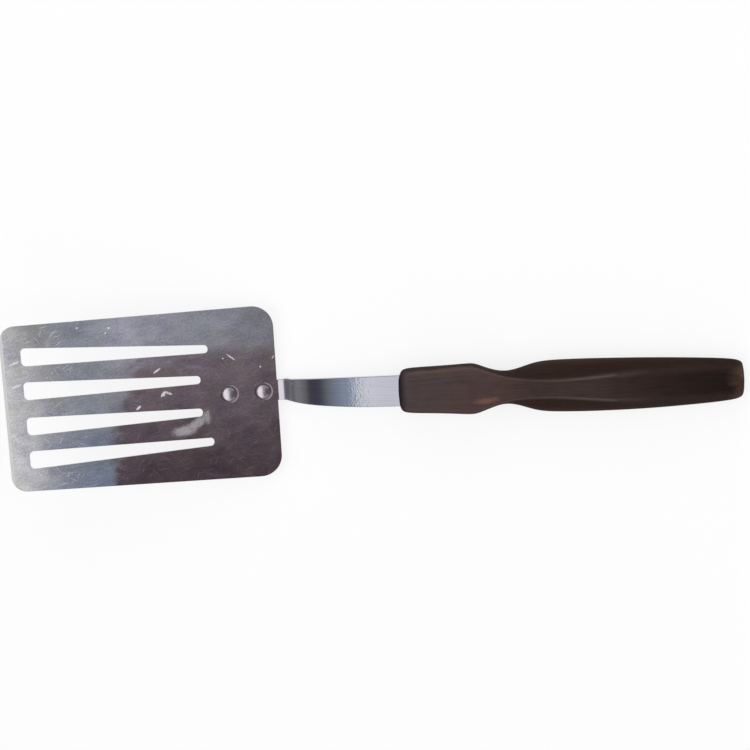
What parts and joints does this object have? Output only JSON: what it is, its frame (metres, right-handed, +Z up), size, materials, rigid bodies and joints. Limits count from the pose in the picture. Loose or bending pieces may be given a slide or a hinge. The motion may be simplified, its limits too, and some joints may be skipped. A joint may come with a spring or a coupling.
{
  "type": "slotted turner",
  "caption": "Slotted kitchen turner: flat stainless blade with fanned tapered slots, cranked riveted strip shank and a waisted moulded resin handle, for lifting and turning fried food.",
  "frame": {"origin": "bottom centre of the bounding box as the turner lies on a table, on the shank's heel and the handle's butt", "axes": "+X along the turner from the blade's front edge to the handle's butt, +Y across the blade to the left of that direction, +Z up off the table"},
  "size_m": [0.318, 0.0766, 0.0365],
  "materials": {
    "polished_stainless": "polished sheet, worn by fine scratches",
    "satin_stainless": "satin strip",
    "rivet_stainless": "polished dome",
    "moulded_resin": "dark brown streaked resin, low gloss"
  },
  "bodies": {
    "root": {"blade": "polished_stainless", "shank": "satin_stainless", "blade_rivet_front": "rivet_stainless", "blade_rivet_rear": "rivet_stainless", "handle": "moulded_resin"}
  },
  "joints": []
}
